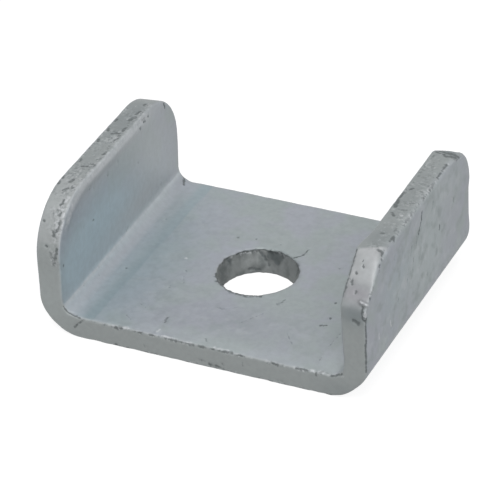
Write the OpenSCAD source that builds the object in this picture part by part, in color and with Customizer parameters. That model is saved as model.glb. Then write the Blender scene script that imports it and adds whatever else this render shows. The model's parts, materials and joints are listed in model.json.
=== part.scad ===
// U-shaped strut washer: one steel strip bent up at both ends, with a bolt bore in its base.
// Millimetres. +Z is up along the bore, X runs across the strut, Y along it.
// The origin is on the bore axis at the underside.

/* [Strut] */
// Width of the strut channel that sits between the flanges.
strut_w = 41.3; // [30:0.1:62]
// Total side play of the strut between the flanges.
strut_play = 1.7; // [0.4:0.1:4]

/* [Strip] */
// Thickness of the strip, zinc included.
plate_t = 3.5; // [2.5:0.1:5]
// Length of the washer along the strut.
strip_len = 38; // [30:0.5:60]
// Radius left on every sheared edge after rolling and zinc dipping.
edge_r = 0.3; // [0.2:0.05:1]

/* [Flanges] */
// Height of the flange tops over the underside.
flange_h = 20.5; // [17:0.5:45]
// Inside radius of the two bends.
bend_r = 2.3; // [1:0.1:4]
// Radius of the four top corners.
corner_r = 9; // [4:0.5:12]
// How far the right flange, at +X, is sheared below the reach of its corner arcs.
shear_right = 1; // [0.2:0.1:3]
// How deep inside its arc a flat crops the front corner of the right flange.
crop_right = 0.8; // [0.2:0.1:2]
// Slope of that flat over the base, in degrees.
crop_slope = 48; // [35:1:60]

/* [Bolt bore] */
// Thread size of the bolt.
bolt_d = 10; // [6:1:16]
// Clearance of the bore over the bolt.
bolt_play = 1; // [0.4:0.1:2]
// Rolled edge of the bore at both faces.
rim_r = 0.2; // [0.1:0.05:1]

/* [Hidden] */
$fn = 96;
// Clear space between the flanges.
gap = strut_w + strut_play;
// Width over both flanges.
outer_w = gap + 2 * plate_t;
// Outside radius of the bends.
bend_out_r = bend_r + plate_t;
// Flat part of the base between the bends.
base_flat = outer_w - 2 * bend_out_r;
bore_d = bolt_d + bolt_play;
// How far a cutter runs past what it cuts.
cut_over = 1;
// A length that spans the whole flange from any point of it.
cut_span = 2 * (strip_len + flange_h);

// Cross-section of the strip with its four edges rounded: thickness on X, length on Y.
module strip_section() {
  translate([edge_r, -strip_len / 2]) square([plate_t - 2 * edge_r, strip_len]);
  translate([0, edge_r - strip_len / 2]) square([plate_t, strip_len - 2 * edge_r]);
  for (x = [edge_r, plate_t - edge_r], y = [-1, 1])
    translate([x, y * (strip_len / 2 - edge_r)]) circle(r = edge_r);
}

// Half section from a line inside the flange to its rounded rim: reach on X, thickness on Y.
module rim_section(reach) {
  square([reach - edge_r, plate_t]);
  translate([0, edge_r]) square([reach, plate_t - 2 * edge_r]);
  for (y = [edge_r, plate_t - edge_r])
    translate([reach - edge_r, y]) circle(r = edge_r);
}

// Flat base between the bends.
module base() {
  translate([base_flat / 2, 0, 0]) rotate([0, -90, 0]) linear_extrude(base_flat) strip_section();
}

// Bend at +X: the strip section turned a quarter round the bend axis.
module bend() {
  translate([base_flat / 2, 0, bend_out_r])
    rotate([90, 90, 0])
      rotate_extrude(angle = 90) translate([bend_r, 0]) strip_section();
}

// Flange at +X above the bend, up to top_h, with its two top corners turned to a radius.
module flange(top_h) {
  side = strip_len / 2 - corner_r;
  shoulder = top_h - corner_r;
  translate([gap / 2, 0, bend_out_r]) linear_extrude(shoulder - bend_out_r) strip_section();
  for (end = [0, 1])
    mirror([0, end, 0]) translate([gap / 2, side, shoulder])
      rotate([90, 0, 90]) rotate_extrude(angle = 90) rim_section(corner_r);
  translate([gap / 2, -side, shoulder])
    rotate([0, -90, -90]) linear_extrude(2 * side) rim_section(corner_r);
}

// Flange at +X whose top is sheared lower, so that its corner arcs meet the top in a ridge,
// and whose front corner is cropped flat.
module sheared_flange() {
  intersection() {
    flange(flange_h + shear_right);
    translate([gap / 2, -strip_len / 2 - cut_over, bend_out_r])
      rotate([0, -90, -90])
        linear_extrude(strip_len + 2 * cut_over) rim_section(flange_h - bend_out_r);
    translate([gap / 2, corner_r - strip_len / 2, flange_h + shear_right - corner_r])
      rotate([crop_slope, 0, 0]) translate([0, -cut_span / 2, -cut_span])
        rotate([0, -90, -90])
          linear_extrude(cut_span) rim_section(cut_span + corner_r - crop_right);
  }
}

// Bore with a rolled edge at both faces.
module bore() {
  translate([0, 0, -cut_over]) cylinder(d = bore_d, h = plate_t + 2 * cut_over);
  for (z = [0, plate_t])
    translate([0, 0, z]) mirror([0, 0, z > 0 ? 1 : 0]) rotate_extrude() rolled_edge();
}

// What a rolled edge takes off the lower face: a square less the round.
module rolled_edge() {
  difference() {
    translate([bore_d / 2 - rim_r, 0]) square([2 * rim_r, rim_r]);
    translate([bore_d / 2 + rim_r, rim_r]) circle(r = rim_r);
  }
}

module washer() {
  color("#9AA1A8")
    difference() {
      union() {
        base();
        bend();
        mirror([1, 0, 0]) bend();
        sheared_flange();
        mirror([1, 0, 0]) flange(flange_h);
      }
      bore();
    }
}

washer();
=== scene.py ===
import json
import math
import bmesh
import bpy
from mathutils import Matrix, Vector, kdtree, noise


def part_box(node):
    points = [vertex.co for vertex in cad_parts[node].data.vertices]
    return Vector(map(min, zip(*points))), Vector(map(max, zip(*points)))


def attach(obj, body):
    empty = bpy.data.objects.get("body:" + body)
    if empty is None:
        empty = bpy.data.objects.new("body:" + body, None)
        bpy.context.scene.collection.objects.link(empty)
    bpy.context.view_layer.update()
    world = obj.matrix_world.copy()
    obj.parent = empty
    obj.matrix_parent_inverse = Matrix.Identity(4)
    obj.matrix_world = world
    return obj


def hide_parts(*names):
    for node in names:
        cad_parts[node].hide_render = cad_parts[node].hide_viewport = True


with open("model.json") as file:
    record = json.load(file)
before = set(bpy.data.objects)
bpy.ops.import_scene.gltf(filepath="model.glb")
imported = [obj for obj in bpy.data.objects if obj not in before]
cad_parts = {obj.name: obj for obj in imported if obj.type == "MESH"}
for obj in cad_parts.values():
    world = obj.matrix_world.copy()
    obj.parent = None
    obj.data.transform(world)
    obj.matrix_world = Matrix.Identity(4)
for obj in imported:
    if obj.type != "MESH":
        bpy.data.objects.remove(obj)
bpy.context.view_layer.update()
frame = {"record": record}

mm = 0.001  # the washer is shaped in millimetres and scaled to metres at the end
scene = bpy.context.scene


def mountOf(name):
    return next(m for m in frame["record"]["mounts"] if m["name"] == name)


# What the frame gives: the outer box, the strip's thickness and the bore
boxLow, boxHigh = (Vector(corner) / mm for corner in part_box("washer"))
plate = mountOf("strut_seat")["pos_m"][2] / mm
boreRadius = mountOf("bolt_bore")["dims"]["r_mm"]

washerForm = {
    "bendIn": 2.3,  # inside radius of the two bends
    "corner": 9.0,  # radius of the four top corners
    "shear": 1.0,  # how far the right flange is cut below the reach of its corner arcs
    "crop": 0.8,  # how deep inside its arc a flat crops that flange's front corner
    "cropSlope": 48.0,  # degrees of that flat over the base
    "core": 4.0,  # round a corner's centre nothing is moved within this reach
    # how much fuller a corner came out, by flange and end, at the inner and at the outer face
    "fuller": {(-1, 1): (0.25, 0.15), (1, 1): (0.1, 0.8)},
    # where along Y the right flange's top starts to slope at its back, at both faces, and the slope
    "worn": (14.0, 12.9, 0.3),
    "twist": 0.26,  # how much less steep the cropped flat is at the inner face
    "twistFoot": 0.93,  # share of the corner's radius at which the flat is not yet twisted
    "blunted": (0.6, 1.8),  # height over which its ridge is rounded, at the inner and the outer face
    "dragged": (5.0, 0.4),  # how far below the rim the points start to follow it, and follow it fully
    "rolled": 0.4,  # the right flange's top falls away along the outer face
    "rolledShare": 0.25,  # over this share of the thickness
    "waist": 0.25,  # the right flange's back edge is narrower below its top corner
    "waistSpan": (6.0, 8.5, 12.6, 14.2),  # heights where that starts, is full, falls off and ends
    "waistReach": 3.0,  # how far it reaches into the flange
    "tilt": 0.2,  # the left flange's top falls to its outer face
    "swell": 0.2,  # the flanges are thicker on their inner faces
    "upset": 0.5,  # and the cropped corner was pushed inwards further
    "upsetFrom": ((7.0, 12.0), (12.5, 18.0)),  # where to the front, and up, that starts and is full
    "lip": 0.17,  # thick bead of zinc on the left flange's inner face, below its rim
    "lipInside": (0.35, 1.0, 1.2, 2.6),  # how far from the rim it starts, is full, falls off and ends
    "lipSpan": (-17.0, -15.0, 8.0, 11.0),  # and where along Y
    "thinned": {-1: (0.2, 0.1), 1: (0.45, 0.1)},  # the bends' outsides were pulled thin, at front and back
    "flare": 0.33,  # the punch tore the bore wider at its upper rim, twice this towards flareTo
    "flareTo": (-0.6, 0.8),
    "flareReach": (1.05, 2.0),  # bore radii up to which the face follows that fully, and at all
    "torn": (0.5, 5.0),  # how unevenly, as a share of that, and how finely
    "rolledEdge": 0.3,  # radius left on the sheared edges
    "boreEdge": 0.2,  # and round the bore
    "cell": 0.32,  # mesh cell on the faces, halved round the marks
    "margin": 0.82,  # outermost cell, wider than the rolled edge
    "boreBlock": 46,  # cells along each side of the block that is opened for the bore
    "bendSteps": 22,
    "edgeSteps": 4,
    "wallCuts": 8,  # cuts across the sheared faces
}
halfLen = boxHigh.y
gapHalf = boxHigh.x - plate
baseHalf = gapHalf - washerForm["bendIn"]
bendTop = plate + washerForm["bendIn"]


def smoothStep(low, high, value):
    t = min(max((value - low) / (high - low), 0.0), 1.0)
    return t * t * (3.0 - 2.0 * t)


# Rises from a start to where it is full, then falls off to an end
def hump(span, value):
    start, full, fall, end = span
    return smoothStep(start, full, value) * (1.0 - smoothStep(fall, end, value))


def gridCount(span, cell):
    return 2 * round(span / cell / 2)  # even, so that a cell border runs through the middle


def extrudeEdges(bm, edges, move):
    made = bmesh.ops.extrude_edge_only(bm, edges=edges)["geom"]
    fresh = {g for g in made if isinstance(g, bmesh.types.BMVert)}
    bmesh.ops.translate(bm, verts=list(fresh), vec=move)
    return [g for g in made if isinstance(g, bmesh.types.BMEdge) and fresh.issuperset(g.verts)]


# A point's place over the centre of the nearest corner arc, outwards along Y and upwards
def overCorner(co):
    top = boxHigh.z + (washerForm["shear"] if co.x > 0.0 else 0.0)
    return abs(co.y) - halfLen + washerForm["corner"], co.z - top + washerForm["corner"]


def edgesAt(bm, axis, value):
    return [e for e in bm.edges if e.is_boundary and all(abs(v.co[axis] - value) < 1e-4 for v in e.verts)]


# Upper face of the base: a grid with a block of cells opened, and the bore's ring bridged to it
def makeBase(bm, form):
    innerHalf = halfLen - form["margin"]
    nx, ny = gridCount(2 * baseHalf, form["cell"]), gridCount(2 * innerHalf, form["cell"])
    bmesh.ops.create_grid(bm, x_segments=nx, y_segments=ny, size=1.0)
    bmesh.ops.scale(bm, verts=bm.verts, vec=(baseHalf, innerHalf, 1.0))
    blockX, blockY = form["boreBlock"] * baseHalf / nx, form["boreBlock"] * innerHalf / ny
    block = set()
    for face in bm.faces:
        middle = face.calc_center_median()
        if abs(middle.x) < blockX and abs(middle.y) < blockY:
            block.add(face)
    rim = [e for e in bm.edges if len(block.intersection(e.link_faces)) == 1]
    bmesh.ops.delete(bm, geom=list(block), context="FACES")

    # The ring is bridged while it stands above the sheet, then everything is pressed flat
    circle = bmesh.ops.create_circle(
        bm, cap_ends=False, radius=boreRadius, segments=4 * form["boreBlock"],
        matrix=Matrix.Translation((0.0, 0.0, 2.0 * plate)),
    )["verts"]
    ring = extrudeEdges(bm, list({e for v in circle for e in v.link_edges}), (0.0, 0.0, 0.0))
    grow = 1.0 + form["margin"] / boreRadius
    bmesh.ops.scale(bm, verts=list({v for e in ring for v in e.verts}), vec=(grow, grow, 1.0))
    bridge = bmesh.ops.bridge_loops(bm, edges=ring + rim)
    across = {e for face in bridge["faces"] for e in face.edges}.difference(ring, rim)
    bmesh.ops.subdivide_edges(bm, edges=list(across), cuts=3, use_grid_fill=True)
    bmesh.ops.scale(bm, verts=bm.verts, vec=(1.0, 1.0, 0.0))
    bmesh.ops.translate(bm, verts=bm.verts, vec=(0.0, 0.0, plate))
    for end in (-1, 1):
        extrudeEdges(bm, edgesAt(bm, 1, end * innerHalf), (0.0, end * form["margin"], 0.0))


# Square rings round a corner's centre become quarter circles of the same reach
def roundCorner(across, up):
    if min(across, up) <= 0.0:
        return across, up
    turn = math.pi / 4 * (up / across if across >= up else 2.0 - across / up)
    return max(across, up) * math.cos(turn), max(across, up) * math.sin(turn)


# The right flange's straight cuts, at its top and front corner: a point's share of the way out shrinks
def trimCorner(form, across, up, front):
    size = math.hypot(max(across, 0.0), up)
    if up <= 0.0 or size <= form["core"]:
        return across, up
    cuts = [(math.pi / 2, form["corner"] - form["shear"])]
    if front:
        cuts.append((math.pi / 2 - math.radians(form["cropSlope"]), form["corner"] - form["crop"]))
    reach = form["corner"]
    for turn, away in cuts:
        facing = (max(across, 0.0) * math.cos(turn) + up * math.sin(turn)) / size
        reach = min(reach, away / max(facing, 0.001))
    share = form["core"] + (size - form["core"]) * (reach - form["core"]) / (form["corner"] - form["core"])
    return across * (share / size if across > 0.0 else 1.0), up * share / size


# Height of the right flange's rim at its front corner: as cut, and as twisted and rounded,
# which depends on the depth in the strip
def frontRim(form, across, depth):
    slope = math.radians(form["cropSlope"])
    middle = boxHigh.z + form["shear"] - form["corner"]
    flat = middle + (form["corner"] - form["crop"] - across * math.sin(slope)) / math.cos(slope)
    twisted = flat - form["twist"] * (1.0 - depth) * max(form["twistFoot"] * form["corner"] - across, 0.0)
    inner, outer = form["blunted"]
    height = inner + (outer - inner) * depth
    blunt = max(1.0 - abs(boxHigh.z - twisted) / height, 0.0)
    cut = min(boxHigh.z, flat)
    return cut, min(boxHigh.z, twisted, cut) - 0.25 * height * blunt ** 2


# Inner face of a flange: the base's end spun up through the bend, then raised row by row
def makeFlange(bm, form, side):
    top = boxHigh.z + (form["shear"] if side > 0 else 0.0)
    spun = bmesh.ops.spin(
        bm, geom=edgesAt(bm, 0, side * baseHalf), cent=(side * baseHalf, 0.0, bendTop),
        axis=(0.0, -side, 0.0), angle=math.pi / 2, steps=form["bendSteps"],
    )["geom_last"]
    edges = [g for g in spun if isinstance(g, bmesh.types.BMEdge)]
    rise = top - form["margin"] - bendTop
    rows = round(rise / form["cell"])
    known = set(bm.verts)
    for row in range(rows):
        edges = extrudeEdges(bm, edges, (0.0, 0.0, rise / rows))
    extrudeEdges(bm, edges, (0.0, 0.0, form["margin"]))
    for v in set(bm.verts) - known:
        end = math.copysign(1.0, v.co.y)
        across, up = roundCorner(*overCorner(v.co))
        if side > 0:
            across, up = trimCorner(form, across, up, end < 0.0)
        v.co.y = end * (halfLen - form["corner"] + across)
        v.co.z = top - form["corner"] + up


# How deep a point lies in the strip: 0 on the face inside the U, 1 on the outer one
def depthShare(co):
    if co.z > bendTop:
        return (abs(co.x) - gapHalf) / plate
    return (math.hypot(max(abs(co.x) - baseHalf, 0.0), bendTop - co.z) - washerForm["bendIn"]) / plate


def boreFlare(co):
    facing = co.xy.normalized()
    uneven, fine = washerForm["torn"]
    torn = 1.0 + uneven * noise.noise(fine * facing.to_3d())
    wide = washerForm["flare"] * (1.0 + facing.dot(washerForm["flareTo"]))
    return wide * torn * smoothStep(0.0, plate, co.z)


def inBore(co):
    return co.z < bendTop and co.xy.length < boreRadius + 1.1 * washerForm["boreEdge"] + boreFlare(co)


# Corners that came out fuller or leaner than the cut, and worn on the right flange
def wearCorners(bm, form):
    for v in bm.verts:
        if v.co.z < bendTop:
            continue
        across, up = overCorner(v.co)
        corner = (1 if v.co.x > 0.0 else -1, 1 if v.co.y > 0.0 else -1)
        depth = min(depthShare(v.co), 1.0)
        if corner in form["fuller"] and min(across, up) > 0.0:
            inner, outer = form["fuller"][corner]
            grow = (inner + (outer - inner) * depth) * 2.0 * across * up / form["corner"] ** 2
            reach = math.hypot(across, up)
            v.co.y += corner[1] * grow * across / reach
            v.co.z = min(v.co.z + grow * up / reach, boxHigh.z)
        if corner[0] > 0:
            if corner[1] > 0:
                inner, outer, slope = form["worn"]
                past = max(v.co.y - inner - (outer - inner) * depth, 0.0)
                v.co.z = min(v.co.z, boxHigh.z - slope * past)
            else:
                cut, rim = frontRim(form, across, depth)
                start, full = form["dragged"]
                v.co.z -= (cut - rim) * smoothStep(cut - start, cut - full, v.co.z)
            edge = max(1.0 - (1.0 - depth) / form["rolledShare"], 0.0) ** 2
            v.co.z -= form["rolled"] * edge * smoothStep(0.8 * boxHigh.z, boxHigh.z, v.co.z)
        else:
            v.co.z -= form["tilt"] * depth * smoothStep(0.6 * boxHigh.z, boxHigh.z, v.co.z)
        if corner == (1, 1):
            near = smoothStep(halfLen - form["waistReach"], halfLen, v.co.y)
            v.co.y -= form["waist"] * hump(form["waistSpan"], v.co.z) * near
    # the ridges across the right flange's edge stay crisp
    for e in bm.edges:
        run = e.verts[1].co - e.verts[0].co
        if e.verts[0].co.z > boxHigh.z - 0.1 and abs(run.x) > 0.9 * run.length:
            e.smooth = e.calc_face_angle() < math.radians(7)
    bm.normal_update()


# The press's own traces: swollen flanges, bends pulled thin outside, and a bore torn wide
def wearFaces(bm, form):
    flareFull, flareEnd = (share * boreRadius for share in form["flareReach"])
    for v in bm.verts:
        side = 1 if v.co.x > 0.0 else -1
        depth = min(depthShare(v.co), 1.0)
        if v.co.z < bendTop and abs(v.co.x) > baseHalf:
            away = Vector((v.co.x - side * baseHalf, 0.0, v.co.z - bendTop))
            turn = math.atan2(abs(away.x), -away.z)
            front, back = form["thinned"][side]
            thin = front + (back - front) * (v.co.y / halfLen + 1.0) / 2
            v.co -= away.normalized() * thin * depth * math.sin(2.0 * turn) ** 2
        swell = form["swell"] * smoothStep(plate, 2.0 * bendTop, v.co.z)
        if side > 0:
            ahead, up = form["upsetFrom"]
            swell += form["upset"] * smoothStep(*ahead, -v.co.y) * smoothStep(*up, v.co.z)
        elif v.co.z > bendTop:
            across, up = overCorner(v.co)
            inside = form["corner"] - math.hypot(max(across, 0.0), max(up, 0.0))
            swell += form["lip"] * hump(form["lipInside"], inside) * hump(form["lipSpan"], v.co.y)
        v.co.x -= side * swell * (1.0 - depth)
        reach = v.co.xy.length
        if reach < flareEnd and v.co.z < bendTop:
            near = 1.0 - smoothStep(flareFull, flareEnd, reach)
            v.co.xy *= 1.0 + boreFlare(v.co) * near / reach
    bm.normal_update()


# The sheet gets the strip's thickness outwards, then its rolled edges
def thicken(bm, form):
    bmesh.ops.remove_doubles(bm, verts=bm.verts, dist=1e-4)
    bmesh.ops.recalc_face_normals(bm, faces=bm.faces)
    baseFace = min(bm.faces, key=lambda f: f.calc_center_median().z)
    bmesh.ops.solidify(bm, geom=bm.faces[:], thickness=math.copysign(plate, baseFace.normal.z))
    bmesh.ops.recalc_face_normals(bm, faces=bm.faces)
    for inBoreWall, offset in ((True, form["boreEdge"]), (False, form["rolledEdge"])):
        sharp = [e for e in bm.edges if e.calc_face_angle() > math.radians(60)]
        bmesh.ops.bevel(
            bm, geom=[e for e in sharp if inBore(e.verts[0].co) == inBoreWall], offset=offset,
            offset_type="OFFSET", affect="EDGES", segments=form["edgeSteps"], profile=0.5, material=-1,
        )
    walls = [e for e in bm.edges if e.calc_length() > 0.9 * (plate - 2 * form["rolledEdge"])]
    bmesh.ops.subdivide_edges(bm, edges=walls, cuts=form["wallCuts"], use_grid_fill=True)
    bm.normal_update()


# Marks of the zinc, each from a point to a point in mm, with its reach
zincMarks = {
    # flakes and pits that show dark
    "dark": [
        # left flange, outer border of the rim
        ((-24.6, 6.5, 20.5), (-24.5, 6.1, 20.5), 0.35),
        ((-24.5, 3.9, 20.5), (-24.4, 3.4, 20.5), 0.4),
        ((-24.5, 0.7, 20.5), (-24.4, 0.2, 20.5), 0.4),
        ((-24.5, -5.0, 20.5), (-24.3, -5.4, 20.5), 0.35),
        ((-24.7, -13.2, 19.9), (-24.6, -9.4, 20.5), 0.45),
        ((-24.6, -16.8, 17.4), (-24.4, -16.9, 17.2), 0.3),
        ((-23.5, -18.5, 14.3), (-23.4, -18.5, 14.2), 0.3),
        # left flange, pits on the rim
        ((-23.2, -10.8, 20.5), (-22.9, -10.3, 20.5), 0.5),
        ((-22.6, 6.9, 20.5), (-22.2, 7.6, 20.5), 0.55),
        ((-23.3, 2.7, 20.5), (-22.5, 3.1, 20.5), 0.4),
        ((-23.3, -6.7, 20.5), (-22.6, -6.4, 20.5), 0.35),
        ((-22.5, 11.4, 20.4), (-21.8, 13.4, 20.0), 0.4),
        ((-22.4, 8.6, 20.5), (-22.2, 9.4, 20.5), 0.35),
        ((-22.1, 3.6, 20.5), (-22.1, 4.6, 20.5), 0.4),
        ((-21.4, 8.3, 19.5), (-21.4, 8.9, 19.4), 0.3),
        ((-21.4, 7.0, 19.3), (-21.4, 7.3, 19.0), 0.26),
        ((-21.4, 9.8, 19.6), (-21.4, 10.2, 19.3), 0.26),
        ((-22.1, 0.9, 20.5), (-22.0, 1.9, 20.5), 0.35),
        ((-21.9, -3.1, 20.4), (-21.7, -2.2, 20.3), 0.35),
        ((-21.3, 15.2, 18.6), (-21.3, 15.5, 18.0), 0.3),
        # left flange, inner border of the front corner
        ((-23.3, -12.6, 20.1), (-22.8, -12.2, 20.2), 0.4),
        ((-22.4, -14.2, 19.5), (-22.6, -14.9, 19.1), 0.32),
        ((-22.2, -15.9, 18.4), (-22.5, -16.2, 18.0), 0.32),
        ((-21.9, -16.9, 17.4), (-22.1, -17.6, 16.4), 0.35),
        ((-22.6, -17.6, 16.2), (-22.5, -17.9, 15.7), 0.35),
        ((-21.8, -18.5, 14.1), (-21.9, -18.7, 13.2), 0.35),
        ((-22.0, -18.9, 12.9), (-22.2, -18.9, 12.3), 0.4),
        ((-21.5, -17.8, 11.2), (-21.5, -17.8, 10.9), 0.3),
        # left bend, nick at the back
        ((-20.6, 18.9, 4.1), (-20.1, 17.4, 3.6), 0.3),
        # base
        ((-7.4, -14.5, 3.5), (-7.2, -15.7, 3.5), 0.3),
        ((10.4, 5.2, 3.5), (10.4, 5.3, 3.5), 0.25),
        ((13.3, -2.9, 3.5), (13.3, -2.8, 3.5), 0.32),
        ((14.1, -6.5, 3.5), (14.1, -6.4, 3.5), 0.28),
        ((13.4, -8.6, 3.5), (13.6, -8.5, 3.5), 0.3),
        ((14.0, -8.4, 3.5), (14.3, -8.3, 3.5), 0.25),
        # bore, and round its back rim a dark ragged line that also paints shade over that rim's highlight
        ((-2.1, 5.2, 3.3), (-1.4, 5.3, 2.0), 0.3),
        ((-5.1, 3.8, 3.5), (-2.75, 5.85, 3.5), 0.28),
        ((-2.75, 5.85, 3.5), (0.1, 6.35, 3.5), 0.32),
        ((0.1, 6.35, 3.5), (3.0, 5.4, 3.5), 0.3),
        ((3.0, 5.4, 3.5), (4.75, 3.7, 3.5), 0.28),
        ((5.5, 1.4, 3.2), (5.6, 0.2, 2.9), 0.35),
        ((5.6, 0.0, 3.3), (5.5, -1.2, 3.2), 0.3),
        ((-0.9, 5.4, 1.5), (-0.8, 5.4, 1.3), 0.35),
        ((-5.4, 0.9, 3.2), (-4.6, 2.9, 2.9), 0.5),
        ((-4.2, 3.5, 3.4), (-3.1, 4.5, 3.4), 0.4),
        ((-3.5, 4.2, 0.8), (-2.0, 5.1, 0.5), 0.35),
        ((-4.9, -4.0, 3.5), (-4.8, -4.1, 3.5), 0.3),
        # front edge of the base
        ((-19.8, -19.0, 1.7), (-18.5, -19.0, 3.1), 0.26),
        ((-13.4, -18.95, 3.3), (-3.0, -18.95, 3.3), 0.26),
        ((-3.0, -18.95, 3.3), (6.5, -18.95, 3.3), 0.26),
        ((-13.4, -18.9, 3.2), (-12.9, -18.9, 3.1), 0.35),
        ((-11.0, -18.9, 3.3), (-8.6, -18.9, 3.3), 0.3),
        ((-6.7, -18.8, 3.3), (-3.0, -18.9, 3.3), 0.35),
        ((-1.7, -18.9, 3.3), (0.8, -18.9, 3.3), 0.4),
        ((3.6, -18.9, 3.4), (5.6, -18.9, 3.3), 0.35),
        ((10.5, -18.9, 3.4), (11.6, -19.0, 3.1), 0.3),
        ((14.2, -18.9, 3.3), (16.0, -18.9, 3.4), 0.3),
        ((17.3, -18.9, 3.4), (17.2, -19.0, 2.8), 0.25),
        ((19.5, -18.9, 3.5), (21.2, -19.0, 4.1), 0.3),
        ((-13.4, -18.9, 0.3), (-13.2, -18.9, 0.3), 0.35),
        ((1.1, -19.0, 0.6), (3.2, -19.0, 0.5), 0.35),
        # right flange, front corner and edge
        ((22.6, -14.4, 19.6), (22.8, -14.7, 19.3), 0.22),
        ((21.8, -15.2, 18.8), (22.0, -15.3, 18.6), 0.3),
        ((21.7, -15.9, 18.0), (21.8, -16.3, 17.6), 0.32),
        ((22.7, -17.0, 16.9), (22.8, -17.2, 16.7), 0.28),
        ((22.5, -14.0, 20.0), (22.5, -14.1, 19.9), 0.22),
        ((23.9, -11.7, 20.4), (24.7, -11.6, 20.4), 0.45),
        ((24.7, -11.6, 20.4), (24.85, -12.2, 20.3), 0.45),
        ((25.0, -12.9, 20.0), (25.0, -13.0, 19.9), 0.28),
        ((24.95, -13.8, 19.5), (24.95, -13.9, 19.4), 0.28),
        ((24.9, -17.2, 16.4), (24.9, -17.3, 16.2), 0.28),
        ((23.2, -18.9, 13.5), (23.9, -19.0, 13.1), 0.45),
        # drip, its left and lower border
        ((24.25, -18.3, 15.4), (24.4, -18.5, 15.0), 0.26),
        ((24.3, -18.7, 14.8), (24.6, -18.85, 13.8), 0.24),
        ((24.6, -18.85, 13.75), (25.0, -18.7, 14.2), 0.22),
        # right flange, top
        ((21.9, 14.2, 20.4), (23.4, 14.1, 20.4), 0.4),
        ((23.7, 13.7, 20.3), (24.7, 14.3, 20.0), 0.8),
        ((22.0, 14.9, 20.0), (23.2, 15.0, 19.9), 0.5),
        ((23.4, 15.0, 19.9), (24.6, 15.2, 19.6), 0.8),
        ((24.6, 11.6, 20.5), (24.55, 9.9, 20.5), 0.28),
        ((24.5, 9.2, 20.5), (24.5, 7.9, 20.5), 0.28),
        ((22.2, -2.6, 20.5), (22.6, -3.2, 20.5), 0.35),
        ((22.1, 3.6, 20.5), (22.4, 4.1, 20.5), 0.3),
        ((24.5, -7.8, 20.5), (24.6, -9.1, 20.5), 0.3),
        ((24.5, -7.8, 20.5), (25.0, -8.5, 20.2), 0.3),
        ((22.7, -7.8, 20.5), (23.0, -7.6, 20.5), 0.28),
        # right flange, outer face
        ((25.0, 1.1, 18.9), (25.0, 0.9, 17.8), 0.34),
        ((25.0, 0.8, 17.6), (25.0, 0.4, 17.0), 0.24),
        ((25.0, 0.3, 17.0), (25.0, -0.2, 16.2), 0.32),
        ((25.0, 7.5, 12.9), (25.0, 7.4, 12.3), 0.28),
    ],
    # scratches and smudges that only show grey
    "faint": [
        # front edge of the base
        ((-9.0, -19.0, 1.2), (-8.8, -19.0, 0.9), 0.3),
        ((-0.5, -19.0, 1.0), (1.6, -19.0, 0.8), 0.4),
        ((3.0, -19.0, 1.3), (3.2, -19.0, 1.0), 0.3),
        ((11.5, -19.0, 0.7), (12.2, -19.0, 0.6), 0.3),
        ((6.2, -19.0, 2.2), (6.3, -19.0, 1.8), 0.25),
        # left flange
        ((-21.5, -0.1, 17.7), (-21.5, 0.0, 17.6), 0.3),
        ((-21.5, 5.9, 14.0), (-21.5, 6.0, 13.9), 0.3),
        ((-21.5, -3.3, 17.4), (-21.5, -3.2, 17.3), 0.35),
        ((-21.5, -8.7, 18.7), (-21.5, -8.8, 18.3), 0.3),
        ((-21.5, -7.6, 17.8), (-21.5, -7.6, 17.6), 0.3),
        ((-21.5, -8.6, 12.9), (-21.5, -8.1, 12.8), 0.35),
        ((-21.5, -11.4, 13.5), (-21.5, -11.3, 13.4), 0.3),
        ((-23.3, -3.4, 20.5), (-23.0, -3.2, 20.5), 0.35),
        ((-21.6, 6.7, 19.9), (-21.5, 9.6, 19.7), 0.35),
        ((-22.1, 9.5, 20.5), (-22.0, -3.0, 20.5), 0.3),
        ((-22.0, -4.0, 20.5), (-22.0, -12.5, 20.3), 0.3),
        ((-18.9, -18.9, 3.3), (-16.4, -18.9, 3.3), 0.25),
        # left bend
        ((-20.8, -9.1, 4.1), (-20.7, -9.3, 4.0), 0.25),
        ((-21.2, -13.0, 4.7), (-21.1, -13.1, 4.5), 0.28),
        ((-21.3, 0.9, 5.0), (-21.4, 1.7, 5.3), 0.25),
        ((-21.5, 12.7, 6.3), (-21.5, 12.8, 6.0), 0.25),
        # base
        ((-12.3, -12.7, 3.5), (-11.3, -13.4, 3.5), 0.22),
        ((-9.9, -3.1, 3.5), (-9.8, -3.2, 3.5), 0.3),
        ((-9.6, -4.5, 3.5), (-8.9, -6.1, 3.5), 0.2),
        ((-10.5, -7.1, 3.5), (-10.3, -7.7, 3.5), 0.22),
        ((-17.0, 1.4, 3.5), (-16.9, 1.5, 3.5), 0.3),
        ((-18.4, -5.5, 3.5), (-18.3, -5.5, 3.5), 0.35),
        ((-18.6, 8.3, 3.5), (-18.4, 7.9, 3.5), 0.25),
        ((-13.0, -16.0, 3.5), (-12.0, -16.7, 3.5), 0.22),
        ((-2.4, -16.6, 3.5), (-2.2, -16.9, 3.5), 0.25),
        ((-0.1, -17.2, 3.5), (0.3, -17.8, 3.5), 0.25),
        ((-1.5, -10.2, 3.5), (1.0, -8.5, 3.5), 0.2),
        ((-1.9, -9.8, 3.5), (-0.5, -9.5, 3.5), 0.2),
        ((2.7, -12.1, 3.5), (4.9, -8.7, 3.5), 0.2),
        ((5.7, -6.0, 3.5), (6.6, -4.4, 3.5), 0.3),
        ((9.9, -12.0, 3.5), (11.7, -14.2, 3.5), 0.2),
        ((-6.8, 7.2, 3.5), (-6.4, 7.8, 3.5), 0.3),
        ((-4.0, 8.2, 3.5), (-3.8, 8.0, 3.5), 0.25),
        ((-0.4, 7.6, 3.5), (0.0, 7.9, 3.5), 0.32),
        ((0.0, -5.9, 3.5), (1.8, -5.9, 3.5), 0.3),
        ((16.8, -17.2, 3.5), (16.4, -14.2, 3.5), 0.22),
        ((16.4, -14.2, 3.5), (16.9, -9.4, 3.6), 0.2),
        # bore
        ((4.1, 3.8, 3.3), (4.1, 3.8, 1.6), 0.35),
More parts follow.
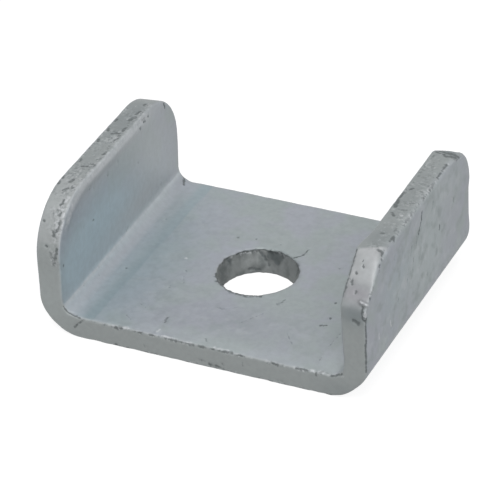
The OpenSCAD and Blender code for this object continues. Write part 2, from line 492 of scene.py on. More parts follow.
        ((5.0, 2.6, 3.4), (5.4, 1.7, 3.0), 0.4),
        # right flange, top
        ((22.9, 0.1, 20.5), (24.4, 0.7, 20.5), 0.3),
        ((22.7, -1.4, 20.5), (23.9, -1.4, 20.5), 0.28),
        ((24.0, -5.4, 20.5), (24.3, -7.1, 20.5), 0.35),
        ((24.8, 6.9, 20.4), (24.7, 6.3, 20.4), 0.3),
        ((24.4, 5.7, 20.5), (24.4, 5.3, 20.5), 0.3),
        # right flange, outer face
        ((25.0, 12.9, 14.3), (25.0, 12.8, 13.6), 0.25),
        ((25.0, -8.8, 18.0), (25.0, -9.0, 17.3), 0.25),
        ((25.0, 2.5, 8.3), (25.0, 2.5, 7.8), 0.28),
        ((25.0, -0.8, 16.8), (25.0, -1.2, 14.8), 0.22),
        ((25.0, -2.6, 15.7), (25.0, -3.3, 14.5), 0.3),
        ((25.0, -2.1, 13.8), (25.0, -2.5, 11.8), 0.25),
        ((25.0, -4.0, 12.7), (25.0, -4.7, 11.0), 0.25),
        ((25.0, 5.4, 18.5), (25.0, 4.7, 17.2), 0.22),
        ((25.0, -7.7, 10.9), (25.0, -8.0, 9.8), 0.22),
        ((25.0, -3.6, 6.9), (25.0, -3.5, 6.6), 0.25),
    ],
    # dark lines where an edge meets a face, painted shade along those that face away, and stains, that
    # nothing breaks up
    "seamAndShade": [
        # right flange, inner border of the top, painted shade along the cropped corner's inner border, drip,
        # and left bend
        ((21.65, 2.9, 20.4), (21.65, 1.2, 20.4), 0.36),
        ((21.65, 0.6, 20.4), (21.9, -1.0, 20.5), 0.42),
        ((20.95, -12.3, 20.3), (20.97, -13.2, 19.8), 0.2),
        ((20.97, -13.2, 19.8), (21.2, -18.3, 15.1), 0.22),
        ((24.9, -18.85, 13.7), (24.8, -18.9, 9.0), 0.22),
        ((24.8, -18.9, 9.0), (24.8, -18.9, 5.4), 0.28),
        ((-21.35, -18.95, 4.9), (-20.6, -18.95, 4.0), 0.2),
        ((-20.6, -18.95, 4.0), (-18.9, -18.95, 3.45), 0.2),
        # stain in the bore
        ((-0.8, 6.0, 2.7), (0.6, 5.9, 2.6), 0.85),
        ((0.1, 5.8, 2.1), (0.4, 5.7, 1.7), 0.55),
        # crack beside the bore, and painted shade along the bore's front rim
        ((3.3, 5.6, 3.5), (4.2, 6.7, 3.5), 0.17),
        ((4.2, 6.7, 3.5), (4.3, 8.2, 3.5), 0.17),
        ((-5.3, -1.9, 3.5), (-4.0, -4.0, 3.5), 0.3),
        ((-4.0, -4.0, 3.5), (-1.9, -5.3, 3.5), 0.3),
        ((-1.9, -5.3, 3.5), (0.5, -5.6, 3.5), 0.32),
        ((0.5, -5.6, 3.5), (2.8, -4.9, 3.5), 0.22),
    ],
    # chips that show bright
    "bright": [
        ((-22.0, -13.6, 19.6), (-22.1, -14.3, 19.3), 0.45),
        ((-22.4, -15.0, 19.0), (-22.2, -15.4, 18.7), 0.4),
        ((-21.9, -17.2, 17.0), (-22.0, -17.5, 16.6), 0.4),
        ((23.3, -2.5, 20.5), (23.6, -2.9, 20.5), 0.3),
        ((-21.7, -15.8, 18.3), (-21.8, -16.4, 17.8), 0.4),
        ((-22.6, -16.5, 17.7), (-22.4, -16.9, 17.3), 0.4),
        ((-7.0, -17.6, 3.5), (-7.2, -18.2, 3.5), 0.3),
        ((-11.4, -0.2, 3.5), (-11.3, -0.2, 3.5), 0.4),
        ((-12.1, -18.8, 3.4), (-11.4, -18.8, 3.4), 0.35),
        ((-6.0, -18.7, 3.5), (-4.6, -18.6, 3.5), 0.3),
        ((2.0, -18.7, 3.5), (4.0, -18.7, 3.5), 0.35),
        ((16.4, -18.7, 3.5), (20.8, -18.7, 4.0), 0.4),
        ((23.9, -17.9, 15.95), (24.9, -17.9, 15.6), 0.26),
        ((24.75, -18.6, 14.9), (24.8, -18.7, 14.4), 0.3),
        ((24.95, -12.5, 20.0), (24.95, -12.6, 19.9), 0.28),
        ((25.0, -10.8, 8.5), (25.0, -10.6, 7.6), 0.28),
        ((25.0, -14.9, 9.0), (25.0, -14.8, 8.2), 0.3),
    ],
    # pale lines of rubbed zinc, and a painted highlight along the left bend's band border
    "glint": [
        # painted highlight along the band's crisp border
        ((-21.35, -13.5, 4.9), (-21.35, 8.5, 4.9), 0.3),
        ((16.4, -18.6, 3.5), (21.2, -18.6, 3.9), 0.5),
        ((24.75, -13.6, 19.3), (24.75, -17.0, 16.6), 0.35),
        ((23.5, 2.6, 20.5), (23.9, 2.3, 20.5), 0.3),
        ((24.6, 6.0, 20.5), (24.5, 4.6, 20.5), 0.35),
    ],
    # bead of zinc along the left flange's inner border, painted bright as a highlight on its rolled edge
    "beadAndHighlight": [
        ((-21.4, 10.0, 19.9), (-21.4, -10.5, 19.9), 1.3),
        ((-21.4, -10.5, 19.9), (-21.4, -14.0, 18.6), 1.3),
        ((-21.4, -14.0, 18.6), (-21.4, -16.6, 16.4), 0.9),
    ],
    # drip of zinc on the right flange's front edge
    "raised": [
        ((24.0, -17.9, 15.95), (24.8, -18.0, 15.6), 0.4),
        ((24.7, -18.5, 15.0), (24.75, -18.7, 14.3), 0.55),
    ],
    # knocked corner at the end of the front ridge
    "dented": [((24.9, -11.7, 20.5), (24.9, -12.0, 20.4), 0.9)],
    # stretches where dark and bright bits lie mixed
    "scuffed": [
        ((-22.0, 12.0, 20.4), (-22.1, 5.0, 20.5), 0.9),
        ((-22.1, 5.0, 20.5), (-22.0, -9.0, 20.5), 0.75),
        ((-22.0, -9.0, 20.5), (-22.1, -14.0, 19.8), 0.85),
        ((-22.1, -14.0, 19.8), (-22.2, -17.0, 17.5), 1.3),
        ((-22.2, -17.0, 17.5), (-22.2, -19.0, 12.0), 1.05),
        ((-24.6, 10.0, 20.5), (-24.6, -10.0, 20.5), 0.5),
        ((-15.0, -18.9, 3.3), (16.0, -18.9, 3.3), 0.5),
        ((16.0, -18.8, 3.4), (21.0, -18.8, 3.6), 0.6),
        ((-14.0, -18.9, 0.2), (20.0, -18.9, 0.2), 0.35),
        ((24.9, -13.8, 19.2), (24.9, -17.0, 16.8), 0.4),
        ((24.7, 12.0, 20.4), (24.7, -11.0, 20.4), 0.5),
        ((21.8, 13.0, 20.4), (21.8, -2.0, 20.4), 0.5),
        ((22.0, 14.2, 20.4), (24.8, 14.0, 20.2), 0.6),
        ((-5.5, 1.5, 3.2), (-3.5, 4.4, 3.2), 0.5),
        ((-3.5, 4.4, 3.2), (0.5, 5.7, 3.2), 0.55),
        ((0.5, 5.7, 3.2), (3.8, 4.2, 3.2), 0.55),
        ((3.8, 4.2, 3.2), (5.6, 0.5, 3.2), 0.5),
    ],
    # the flanges' tops, worn all over
    "worn": [
        ((-23.2, 13.5, 20.4), (-23.2, -10.0, 20.5), 2.0),
        ((-23.2, -10.0, 20.5), (-23.2, -17.3, 17.0), 2.0),
        ((-22.8, -17.3, 17.0), (-22.4, -19.0, 12.5), 1.2),
        ((23.2, 13.0, 20.5), (23.2, -11.0, 20.5), 2.0),
    ],
}

# What each kind of mark is painted as, how strongly, and how far noise breaks a long one
markStyle = {
    "dark": ("dark", 1.0, 0.9),
    "faint": ("dark", 0.6, 0.5),
    "seamAndShade": ("dark", 1.2, 0.25),
    "bright": ("bright", 1.0, 0.9),
    "glint": ("bright", 0.55, 0.6),
    "beadAndHighlight": ("bright", 0.8, 0.7),
    "raised": ("raised", 1.0, 0.0),
    "dented": ("dented", 1.0, 0.0),
    "scuffed": ("scuffed", 1.0, 0.9),
    "worn": ("scuffed", 0.7, 0.9),
}

# Soft patches of the zinc, some of them painted light and shade: a centre, a reach along X, Y and Z, and a
# strength
zincPatches = {
    "cool": [
        # on the base beside the left bend: the zinc's teal, partly a painted reflection of the left flange
        ((-19.0, -6.0, 3.5), (7.5, 20.0, 1.4), 1.0),
        ((25.0, 3.0, 12.0), (1.2, 4.0, 5.0), 0.5),
        ((25.0, -8.0, 13.0), (1.2, 6.0, 5.0), 0.6),
    ],
    # painted light: the left flange's inner face is a lighter teal where it gets less light
    "deep": [
        ((-21.5, -8.0, 10.5), (1.6, 9.0, 7.0), 1.0),
        ((-21.5, 2.0, 8.5), (1.6, 8.0, 5.5), 0.8),
        ((-21.5, -16.0, 9.0), (1.6, 5.0, 5.0), 0.7),
        ((-21.5, 10.0, 8.0), (1.6, 6.0, 4.0), 0.3),
    ],
    "pale": [
        ((4.0, -17.7, 3.5), (16.0, 1.3, 1.2), 0.5),
        # painted highlight at the right bend's inner start, like the left bend's band
        ((18.6, -14.5, 3.6), (1.5, 3.0, 1.2), 0.6),
        ((25.0, 9.0, 18.0), (1.2, 7.0, 3.0), 0.7),
        ((25.0, 2.0, 11.0), (1.2, 9.0, 6.0), 0.9),
    ],
    "dusk": [
        ((2.0, -12.0, 3.5), (9.0, 4.5, 1.2), 0.8),
        # painted shade that evens out the left bend's curved highlight
        ((-20.3, 0.0, 3.9), (1.0, 30.0, 1.0), 0.9),
    ],
    "silverPaintedLightAndWash": [
        # painted light: the left flange's inner face lighter where it gets less light, a painted highlight
        # along its rolled rim with the zinc bead there, and one at the right bend's inner start
        ((-21.5, 10.0, 12.0), (1.6, 9.0, 9.0), 0.65),
        ((-21.5, -9.0, 19.5), (1.6, 12.0, 2.5), 0.4),
        ((-21.5, -1.0, 19.5), (1.6, 14.0, 1.3), 1.0),
        ((-21.5, 3.0, 7.0), (1.6, 14.0, 2.5), 0.5),
        ((19.0, -15.5, 3.9), (1.6, 3.5, 1.2), 0.5),
    ],
    # where blotches darken the faces and washes lighten them
    "stained": [
        ((25.0, 0.0, 12.0), (1.2, 26.0, 13.0), 1.0),
        ((2.0, -12.0, 3.5), (14.0, 6.0, 1.2), 0.5),
        ((0.0, 12.0, 3.5), (16.0, 8.0, 1.2), 0.35),
        ((-14.0, -4.0, 3.5), (5.0, 14.0, 1.2), 0.3),
    ],
    # on the sheared edges
    "dull": [
        ((-23.2, 7.0, 20.5), (3.0, 7.0, 1.5), 0.75),
        ((-23.2, -6.0, 20.5), (3.0, 5.0, 1.5), 0.3),
        ((23.2, 1.0, 20.5), (3.0, 7.0, 1.5), 0.4),
        ((23.2, 9.0, 20.5), (3.0, 4.0, 1.5), 0.15),
        ((23.2, -9.0, 20.5), (3.0, 3.0, 1.0), 0.58),
        ((24.0, 15.5, 19.6), (3.0, 2.0, 1.5), 1.0),
        ((23.2, -18.7, 14.4), (3.0, 1.5, 1.7), 1.0),
        ((21.5, -19.0, 1.0), (4.0, 1.0, 1.8), 0.4),
    ],
    "soot": [((-0.3, 5.8, 2.6), (1.0, 1.2, 0.8), 1.0), ((0.3, 5.7, 1.7), (0.6, 1.0, 0.6), 0.6)],
    "mauve": [((23.2, -17.0, 16.6), (3.0, 1.7, 1.4), 1.0)],
    "fresh": [((-24.0, -19.0, 6.0), (5.0, 1.0, 6.0), 0.9)],
}
edgePatches = ("dull", "soot", "mauve", "fresh")

# Painted highlight on the front corner arcs: where the shine starts and is full, in degrees up the arc,
# where along Y it ends on the top, at the inner face and per mm towards the outer one, and how full
paintedSheenArcs = {"left": (19.0, 21.5, -9.4, 0.0, 0.3), "right": (36.0, 46.0, -12.2, 0.5, 1.0)}


# The painted highlight band on the left bend and the painted shade strip beside it, in mm along the strip
# from its middle
bendLightAndShade = {
    "border": 24.1,  # its crisp border on the flange
    "wander": (0.05, 2.5),  # how far that wanders, and the size of its waves
    "crisp": 0.06,  # half the width over which it ends there
    "foot": 18.5,  # its soft foot on the base, at the front
    "lean": 0.075,  # which leans so much per mm along Y
    "blur": 0.8,  # half the width over which it fades there
    "soft": (0.25, 0.08),  # share of its soft part, at the front and at the back
    "bright": 0.8,  # and of the painted highlight ridge along its border
    "ridge": (1.5, 0.1),  # how far below the border that ridge starts and is full
    "shadeEnd": 16.9,  # where the dark strip beside it ends, at the front
    "shadeLean": 0.027,
    "shadeCrisp": 0.15,
    "shadeSpan": (1.1, 2.5),  # how far towards the flange the strip is full, and is gone
}


# How much of a point's surface is a sheared face: 0 on the strip's two faces, 1 on its edges and the bore
def shearedShare(co, normal):
    if co.z > bendTop:
        return 1.0 - abs(normal.x)
    if inBore(co):
        return normal.xy.length
    return abs(normal.y)


# Painted highlight on the front corner arcs: full on the upper arc, gone near its foot
def paintedSheenShare(co, sheared):
    across, up = overCorner(co)
    if up < 0.0 or co.y > 0.0:
        return 0.0
    turn = math.degrees(math.atan2(up, max(across, 0.001)))
    foot, full, crest, skew, most = paintedSheenArcs["right" if co.x > 0.0 else "left"]
    crest += skew * (abs(co.x) - gapHalf)
    return most * sheared * smoothStep(foot, full, turn) * smoothStep(-crest - 0.2, -crest + 0.1, -co.y)


# The dark strip that runs along the foot of the band on the base
def shadeShare(co, normal, along):
    if co.x > 0.0 or normal.z < 0.5:
        return 0.0
    above = along - bendLightAndShade["shadeEnd"] + bendLightAndShade["shadeLean"] * (co.y + halfLen)
    crisp = bendLightAndShade["shadeCrisp"]
    return hump((-crisp, crisp, *bendLightAndShade["shadeSpan"]), above)


# Painted highlight along the left bend, where the bending punch rubbed it: crisp on the flange, soft on the
# base
def bendHighlightShare(co, normal, along):
    if co.x > 0.0 or normal.x + normal.z < 0.5:
        return 0.0
    wander, size = bendLightAndShade["wander"]
    border = bendLightAndShade["border"] + wander * noise.noise(Vector((0.0, co.y / size, 0.0)))
    foot = bendLightAndShade["foot"] - bendLightAndShade["lean"] * (co.y + halfLen)
    front, back = bendLightAndShade["soft"]
    soft = front + (back - front) * (co.y + halfLen) / (2.0 * halfLen)
    share = soft * smoothStep(foot - bendLightAndShade["blur"], foot + bendLightAndShade["blur"], along)
    start, full = bendLightAndShade["ridge"]
    share += bendLightAndShade["bright"] * smoothStep(border - start, border - full, along)
    return share * (1.0 - smoothStep(border - bendLightAndShade["crisp"], border + bendLightAndShade["crisp"], along))


# Zinc beads along the edges, painted lighter as a highlight on the middle of the rolled edges, but not in
# the bore or on the right flange's inner edge
def edgeBeadAndSheenShare(co, sheared):
    bare = inBore(co) or co.z > bendTop and abs(co.x - gapHalf) < 3.0 * washerForm["rolledEdge"]
    return 0.0 if bare else 4.0 * sheared * (1.0 - sheared)


# Place on the flat blank before bending: along the strip and across it
def blankPlace(co):
    middle = washerForm["bendIn"] + plate / 2
    along = abs(co.x)
    if co.z > bendTop:
        along = baseHalf + middle * math.pi / 2 + co.z - bendTop
    elif along > baseHalf:
        along = baseHalf + middle * math.atan2(along - baseHalf, bendTop - co.z)
    return Vector((math.copysign(along, co.x), co.y, 0.0))


def pointTree(bm):
    bm.verts.ensure_lookup_table()
    tree = kdtree.KDTree(len(bm.verts))
    for v in bm.verts:
        tree.insert(v.co, v.index)
    tree.balance()
    return tree


# Places along a mark, each on the nearest point of the surface
def alongMark(tree, start, end, reach):
    start, end = Vector(start), Vector(end)
    steps = max(1, round((end - start).length / (0.4 * reach)))
    return [tree.find(start.lerp(end, step / steps))[0] for step in range(steps + 1)]


# Halves the cells round the marks and along the band's border, so that thin marks hold their form
def refineMarks(bm, cell):
    bm.verts.index_update()
    tree = pointTree(bm)
    near = set()
    for group, marks in zincMarks.items():
        if group in ("scuffed", "worn", "dented"):
            continue
        for mark in marks:
            for place in alongMark(tree, *mark):
                near.update(index for co, index, distance in tree.find_range(place, mark[2] + 0.8 * cell))
    for v in bm.verts:
        offBorder = -blankPlace(v.co).x - bendLightAndShade["border"]
        if v.co.x < 0.0 and v.normal.x > 0.5 and abs(offBorder) < 2.0 * cell:
            near.add(v.index)
    faces = [f for f in bm.faces if all(v.index in near for v in f.verts)]
    edges = {e for f in faces for e in f.edges if e.calc_length() > 0.6 * cell}
    bmesh.ops.subdivide_edges(bm, edges=list(edges), cuts=1, use_grid_fill=True)
    bm.normal_update()


# A mark longer than this breaks up, by noise of a size in mm over a level
markBreaks = {"length": 2.0, "size": 0.7, "level": 0.3}


def paintMarks(bm, tree, layer, marks, strength, broken):
    for mark in marks:
        places = alongMark(tree, *mark)
        reach = mark[2]
        lasting = (places[-1] - places[0]).length > markBreaks["length"]
        for place in places:
            over = noise.noise(place / markBreaks["size"]) - markBreaks["level"]
            fade = min(1.0, 1.0 + broken * over) if lasting else 1.0
            for co, index, distance in tree.find_range(place, reach):
                v = bm.verts[index]
                v[layer] = max(v[layer], strength * fade * (1.0 - (distance / reach) ** 2))


def patchShare(co, patches):
    share = 0.0
    for centre, reach, strength in patches:
        away = sum(((c - m) / r) ** 2 for c, m, r in zip(co, centre, reach))
        if away < 6.0:
            share += strength * math.exp(-away)
    return min(share, 1.0)


zincRelief = {
    "pit": 0.12,  # depth of a dark mark, mm
    "chip": 0.08,  # height of a bright one
    "raised": 0.42,  # height of a drip
    "dented": 0.3,  # depth of a knock
    "wave": 0.02,  # slow waves of the zinc
    "waveSize": 7.0,
    "shearGrain": 0.03,  # roughness of the sheared faces
    "shearSize": 1.1,
    "boreLean": 0.3,  # the bore was punched askew, towards the back at its upper rim
    "boreGrain": 0.14,  # its torn wall
    "boreSize": 0.9,
    "rimGrain": 0.3,  # and its ragged upper rim
    "rimSize": 1.2,
    "ragged": 0.5,  # size of the raggedness of pits and chips
    "raggedDepth": (0.7, 0.6),  # its middle share of their depth, and how far it varies
    "arris": 0.12,  # bites along the rolled edges
    "arrisSize": 1.3,
}


# How far the zinc moves a point along its normal
def zincShift(co, sheared, marks, relief):
    shift = noise.noise(co / relief["waveSize"]) * relief["wave"]
    grain = noise.noise(co / relief["shearSize"] + Vector((7.0, 3.0, 1.0)))  # away from the waves' noise
    shift += sheared * grain * relief["shearGrain"]
    edge = 4.0 * sheared * (1.0 - sheared)
    shift -= edge * relief["arris"] * max(noise.noise(co / relief["arrisSize"]), 0.0)
    if inBore(co):
        shift += sheared * relief["boreLean"] * (1.0 - 2.0 * co.z / plate) * co.y / boreRadius
        shift -= sheared * relief["boreGrain"] * abs(noise.noise(co / relief["boreSize"]))
        # ragged only on the upper part of its back half
        upper = smoothStep(0.6 * plate, 0.95 * plate, co.z) * smoothStep(-2.0, 2.0, co.y)
        shift -= upper * sheared * relief["rimGrain"] * max(noise.noise(co / relief["rimSize"]) + 0.1, 0.0)
    middle, vary = relief["raggedDepth"]
    ragged = middle + vary * noise.noise(co / relief["ragged"])
    shift += ragged * (relief["chip"] * marks["bright"] - relief["pit"] * marks["dark"])
    return shift + relief["raised"] * marks["raised"] - relief["dented"] * marks["dented"]


zincShares = ("sheared", "edgeBeadAndSheen", "boreWall", "paintedSheen", "bendHighlight", "shade")
paintedMarks = ("dark", "bright", "scuffed")
zincLayers = (*paintedMarks, "raised", "dented")


# Paints the zinc's marks and patches on the points, then shapes the pits, chips and waves
def coatWithZinc(bm):
    tree = pointTree(bm)
    layers = {name: bm.verts.layers.float.new(name) for name in (*zincShares, *zincLayers, *zincPatches)}
    blank = bm.verts.layers.float_vector.new("blank")
    for group, marks in zincMarks.items():
        name, strength, broken = markStyle[group]
        paintMarks(bm, tree, layers[name], marks, strength, broken)
    moved = []
    for v in bm.verts:
        sheared = shearedShare(v.co, v.normal)
        v[layers["sheared"]] = sheared
        v[layers["edgeBeadAndSheen"]] = edgeBeadAndSheenShare(v.co, sheared)
        v[layers["boreWall"]] = sheared if inBore(v.co) else 0.0
        v[layers["paintedSheen"]] = paintedSheenShare(v.co, sheared)
        v[blank] = blankPlace(v.co)
        v[layers["bendHighlight"]] = bendHighlightShare(v.co, v.normal, -v[blank].x)
        v[layers["shade"]] = shadeShare(v.co, v.normal, -v[blank].x)
        for name, patches in zincPatches.items():
            v[layers[name]] = patchShare(v.co, patches) * (sheared if name in edgePatches else 1.0 - sheared)
        marks = {name: v[layers[name]] for name in zincLayers}
        place = v.co + v.normal * zincShift(v.co, sheared, marks, zincRelief)
        moved.append([min(max(c, low), high) for c, low, high in zip(place, boxLow, boxHigh)])
    for v, place in zip(bm.verts, moved):
        v.co = place


def meshObject(name, bm):
    mesh = bpy.data.meshes.new(name)
    bm.to_mesh(mesh)
    bm.free()
    made = bpy.data.objects.new(name, mesh)
    scene.collection.objects.link(made)
    return made


bm = bmesh.new()
makeBase(bm, washerForm)
for side in (-1, 1):
    makeFlange(bm, washerForm, side)
thicken(bm, washerForm)
wearFaces(bm, washerForm)
wearCorners(bm, washerForm)
refineMarks(bm, washerForm["cell"])
triangles = sum(len(f.verts) - 2 for f in bm.faces)
print("strip bent and bored:", len(bm.verts), "points,", triangles, "triangles")
coatWithZinc(bm)
bmesh.ops.scale(bm, verts=bm.verts, vec=(mm, mm, mm))
for face in bm.faces:
    face.smooth = True
washer = meshObject("zincWasher", bm)
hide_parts("washer")
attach(washer, "root")
print("zinc coat shaped")


def linear(code):
    parts = [int(code[i:i + 2], 16) / 255 for i in (1, 3, 5)]
    return tuple(c / 12.92 if c <= 0.04045 else ((c + 0.055) / 1.055) ** 2.4 for c in parts) + (1.0,)


# One node with its settings; an input takes a value or, from another node, a link; gives one output
def addNode(owner, kind, inputs, out=0, **settings):
    node = owner.node_tree.nodes.new(kind)
    for name, value in settings.items():
        setattr(node, name, value)
    for name, value in inputs.items():
        if isinstance(value, bpy.types.NodeSocket):
            owner.node_tree.links.new(value, node.inputs[name])
        else:
            node.inputs[name].default_value = value
    return None if out is None else node.outputs[out]


zincLook = {
    # tints of the faces
    "lilac": "#9FA3AB",
    "olive": "#9BA3A4",
    "cool": "#98A5AC",
    # painted light: lighter teal for the left flange's inner face
    "deep": "#AFC0C8",
    "dusk": "#969AA2",
    "pale": "#A7AFB1",
    # painted light on the left flange and right bend, and the tint of the random washes
    "silverPaintedLightAndWash": "#B4B9BC",
    "stain": "#8A9394",
    # painted highlight on the left bend, and painted shade beside it
    "bendHighlight": "#BCC2C6",
    "shade": "#909EA4",
    # of the sheared edges and the bore
    "sheared": "#959A9A",
    "dull": "#798082",
    "mauve": "#8E8D92",
    "fresh": "#9FA5A5",
    # painted highlight on the front corner arcs
    "paintedSheen": "#ABADAF",
    # zinc bead along the edges, painted lighter as an edge highlight
    "edgeBeadAndSheen": "#ABB0B2",
    "bore": "#858989",
    "boreDark": "#5E6464",
    "soot": "#3C4142",
    # of the marks
    "dark": "#565C5D",
    "bright": "#C2C5C8",
    # mm across a cloud of tint, a patch, a grain, a fleck, and the bits along the edges
    "cloud": 6.0,
    "patch": 2.2,
    "grain": 0.8,
    "fleck": 0.45,
    "arris": 2.5,
    "streak": (7.0, 0.5),  # mm along and across the strip
    # how ragged the pits and chips are, from which share on they show, and how fully they cover
    "ragged": 1.3,
    "marksFrom": 0.3,
    "pitMost": 0.75,
    "chipMost": 0.7,
    "roughness": 0.55,
    "pitRough": 0.25,  # more than that in the pits
    "metallic": 0.3,
    "bump": 0.2,  # of the fine grain
    "bumpDepth": 0.1,  # mm
    "streakBump": 0.25,  # the streaks' part in it
}

# Shares that come from a pattern: its noise between two levels, and the shares there
zincPatterns = {
    "clouded": ("cloud", 0.4, 0.62, 0.0, 1.0),
    "streaked": ("streak", 0.52, 0.75, 0.0, 0.15),
    "beadAndHighlight": ("patch", 0.4, 0.65, 0.1, 0.6),
    "torn": ("patch", 0.42, 0.7, 0.0, 0.8),
    "bitten": ("arris", 0.55, 0.68, 0.0, 0.5),
    "rubbed": ("patch", 0.3, 0.62, 0.35, 0.75),
    "blotched": ("patch", 0.48, 0.7, 0.0, 0.85),
    "washed": ("arris", 0.5, 0.68, 0.0, 0.5),
    "mottle": ("grain", 0.3, 0.7, 0.95, 1.05),
    "unpolished": ("grain", 0.3, 0.7, -0.05, 0.05),
}
# Painted shares that a pattern breaks up
zincBroken = {
    "beadAndSheenSpot": ("edgeBeadAndSheen", "beadAndHighlight"),
    "boreSpot": ("boreWall", "torn"),
    "edgeFleck": ("edgeBeadAndSheen", "bitten"),
    "scuff": ("scuffed", "rubbed"),
    "blotch": ("stained", "blotched"),
    "wash": ("stained", "washed"),
}
# Tints over each other, from the first to the last, each by its share
zincCoats = (
    ("clouded", "olive"), ("cool", "cool"), ("deep", "deep"), ("dusk", "dusk"),
    ("silverPaintedLightAndWash", "silverPaintedLightAndWash"), ("pale", "pale"), ("wash", "silverPaintedLightAndWash"), ("blotch", "stain"),
    ("shade", "shade"), ("bendHighlight", "bendHighlight"), ("streaked", "sheared"), ("sheared", "sheared"),
    ("dull", "dull"), ("fresh", "fresh"), ("paintedSheen", "paintedSheen"), ("mauve", "mauve"),
    ("beadAndSheenSpot", "edgeBeadAndSheen"), ("boreWall", "bore"), ("boreSpot", "boreDark"), ("soot", "soot"),
    ("chip", "bright"), ("pit", "dark"),
)


# Hot-dip galvanised steel: zinc frozen on as a dull satin skin, clouded with lilac, olive and teal,
# greyer on the sheared faces, with dark pits and bright chips along the edges, and painted highlights and
# shade on the bends, front corners and the left flange's inner face
def makeZinc(look):
    zinc = bpy.data.materials.new("hotDipZinc")
    zinc.use_nodes = True
    zinc.node_tree.nodes.clear()
    coords = addNode(zinc, "ShaderNodeTexCoord", {}, "Object")
    blank = addNode(zinc, "ShaderNodeAttribute", {}, "Vector", attribute_name="blank")
    share = {}
    for name in (*zincShares, *paintedMarks, *zincPatches):
        share[name] = addNode(zinc, "ShaderNodeAttribute", {}, "Fac", attribute_name=name)

    pattern = {}
    for name in ("cloud", "patch", "grain", "fleck", "arris"):
        pattern[name] = addNode(zinc, "ShaderNodeTexNoise", {
            "Vector": coords, "Scale": 1.0 / (look[name] * mm), "Detail": 3.0, "Roughness": 0.55}, "Fac")
    long, wide = look["streak"]
    stretched = addNode(zinc, "ShaderNodeMapping", {"Vector": blank, "Scale": (1.0 / long, 1.0 / wide, 1.0)})
    pattern["streak"] = addNode(zinc, "ShaderNodeTexNoise", {
        "Vector": stretched, "Scale": 1.0, "Detail": 3.0, "Roughness": 0.55}, "Fac")
    for name, (source, low, high, toLow, toHigh) in zincPatterns.items():
        share[name] = addNode(zinc, "ShaderNodeMapRange", {
            "Value": pattern[source], "From Min": low, "From Max": high, "To Min": toLow, "To Max": toHigh,
        }, interpolation_type="SMOOTHSTEP")
    for name, (painted, breaking) in zincBroken.items():
        share[name] = addNode(zinc, "ShaderNodeMath", {
            0: share[painted], 1: share[breaking]}, operation="MULTIPLY")

    # pits and chips: the painted marks and a few along every edge, made ragged by the fleck noise
    ragged = addNode(zinc, "ShaderNodeMath", {
        0: pattern["fleck"], 1: look["ragged"], 2: -look["ragged"] / 2}, operation="MULTIPLY_ADD")
    pitted = addNode(zinc, "ShaderNodeMath", {0: share["dark"], 1: share["edgeFleck"]}, operation="MAXIMUM")
    pitted = addNode(zinc, "ShaderNodeMath", {0: pitted, 1: share["scuff"]}, operation="MAXIMUM")
    pitted = addNode(zinc, "ShaderNodeMath", {0: pitted, 1: ragged}, operation="ADD")
    chipped = addNode(zinc, "ShaderNodeMath", {0: share["bright"], 1: share["scuff"]}, operation="MAXIMUM")
    chipped = addNode(zinc, "ShaderNodeMath", {0: chipped, 1: ragged}, operation="SUBTRACT")
    for name, field in (("pit", pitted), ("chip", chipped)):
        share[name] = addNode(zinc, "ShaderNodeMapRange", {
            "Value": field, "From Min": look["marksFrom"], "From Max": 1.0, "To Max": look[name + "Most"],
        }, interpolation_type="SMOOTHSTEP")

    colour = linear(look["lilac"])
    for name, tint in zincCoats:
        # sockets 0, 6 and 7 are the factor and the two colours, and output 2 is their mix
        colour = addNode(zinc, "ShaderNodeMix", {
            0: share[name], 6: colour, 7: linear(look[tint])}, 2, data_type="RGBA")
    colour = addNode(zinc, "ShaderNodeVectorMath", {0: colour, "Scale": share["mottle"]}, operation="SCALE")

    rough = addNode(zinc, "ShaderNodeMath", {0: share["unpolished"], 1: look["roughness"]}, operation="ADD")
    rough = addNode(zinc, "ShaderNodeMath", {
        0: share["pit"], 1: look["pitRough"], 2: rough}, operation="MULTIPLY_ADD")
    height = addNode(zinc, "ShaderNodeMath", {
        0: pattern["streak"], 1: look["streakBump"], 2: pattern["grain"]}, operation="MULTIPLY_ADD")
    bump = addNode(zinc, "ShaderNodeBump", {
        "Height": height, "Strength": look["bump"], "Distance": look["bumpDepth"] * mm})
    shader = addNode(zinc, "ShaderNodeBsdfPrincipled", {
        "Base Color": colour, "Roughness": rough, "Metallic": look["metallic"], "Normal": bump})
    addNode(zinc, "ShaderNodeOutputMaterial", {"Surface": shader}, None)
    return zinc


washer.data.materials.append(makeZinc(zincLook))
print("zinc painted")

studio = {
    "floorHalf": 1.5,
    "floorGrey": 0.25,
    "floorGlow": 0.85,  # what the camera and the metal see of the paper, over its own lit grey
    "ambient": 0.55,
    # place, size and power of each soft box
    "boxes": {
        "keyBox": ((0.1, -0.3, 0.8), 0.5, 2.6),
        "fillBox": ((0.45, -0.65, 0.45), 0.5, 2.2),
    },
}


# 1 on rays from the camera, from metal and through glass, so that all of these see a white ground
def seenDirectly(owner):
    path = addNode(owner, "ShaderNodeLightPath", {}).node.outputs
    seen = addNode(owner, "ShaderNodeMath", {
        0: path["Is Camera Ray"], 1: path["Is Glossy Ray"]}, operation="ADD")
    return addNode(owner, "ShaderNodeMath", {
        0: seen, 1: path["Is Transmission Ray"]}, operation="ADD", use_clamp=True)


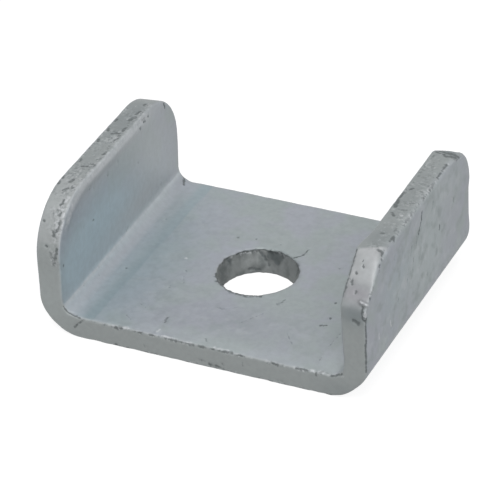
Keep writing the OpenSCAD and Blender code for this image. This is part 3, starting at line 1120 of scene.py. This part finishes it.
# Matt white paper: no gloss, a soft shadow under the washer
def makePaper():
    paper = bpy.data.materials.new("whitePaper")
    paper.use_nodes = True
    paper.node_tree.nodes.clear()
    glow = addNode(paper, "ShaderNodeMath", {
        0: seenDirectly(paper), 1: studio["floorGlow"]}, operation="MULTIPLY")
    grey = studio["floorGrey"]
    shader = addNode(paper, "ShaderNodeBsdfPrincipled", {
        "Base Color": (grey, grey, grey, 1.0), "Roughness": 0.9, "Specular IOR Level": 0.0,
        "Emission Color": (1.0, 1.0, 1.0, 1.0), "Emission Strength": glow})
    addNode(paper, "ShaderNodeOutputMaterial", {"Surface": shader}, None)
    return paper


bm = bmesh.new()
bmesh.ops.create_grid(bm, x_segments=1, y_segments=1, size=studio["floorHalf"])
floor = meshObject("floor", bm)
floor.data.materials.append(makePaper())

world = bpy.data.worlds.new("studio")
scene.world = world
world.use_nodes = True
world.node_tree.nodes.clear()
strength = addNode(world, "ShaderNodeMapRange", {
    "Value": seenDirectly(world), "To Min": studio["ambient"], "To Max": 1.0})
sky = addNode(world, "ShaderNodeBackground", {"Color": (1.0, 1.0, 1.0, 1.0), "Strength": strength})
addNode(world, "ShaderNodeOutputWorld", {"Surface": sky}, None)

for name, (place, size, power) in studio["boxes"].items():
    lampData = bpy.data.lights.new(name, "AREA")
    lampData.energy = power
    lampData.size = size
    lamp = bpy.data.objects.new(name, lampData)
    lamp.location = place
    lamp.rotation_mode = "QUATERNION"
    lamp.rotation_quaternion = Vector(place).to_track_quat("Z", "Y")
    lamp.visible_camera = False
    scene.collection.objects.link(lamp)

# The photograph's view: what it aims at in mm, its distance, and its angles in degrees
photoView = {
    "aim": (-1.63, -1.85, 10.0),
    "distance": 443.9,
    "azimuth": 26.53,
    "elevation": 33.41,
    "roll": -3.25,
    "lens": 235.8,
    "sensor": 36.0,
}
camData = bpy.data.cameras.new("photoView")
camData.sensor_width = photoView["sensor"]
camData.lens = photoView["lens"]
camData.clip_start = 0.01
camData.clip_end = 10.0
cam = bpy.data.objects.new("photoView", camData)
cam.matrix_world = (
    Matrix.Translation(Vector(photoView["aim"]) * mm)
    @ Matrix.Rotation(math.radians(photoView["azimuth"]), 4, "Z")
    @ Matrix.Rotation(math.radians(90.0 - photoView["elevation"]), 4, "X")
    @ Matrix.Rotation(math.radians(photoView["roll"]), 4, "Z")
    @ Matrix.Translation((0.0, 0.0, photoView["distance"] * mm))
)
scene.collection.objects.link(cam)
scene.camera = cam
scene.view_settings.view_transform = "Standard"
print("studio set")
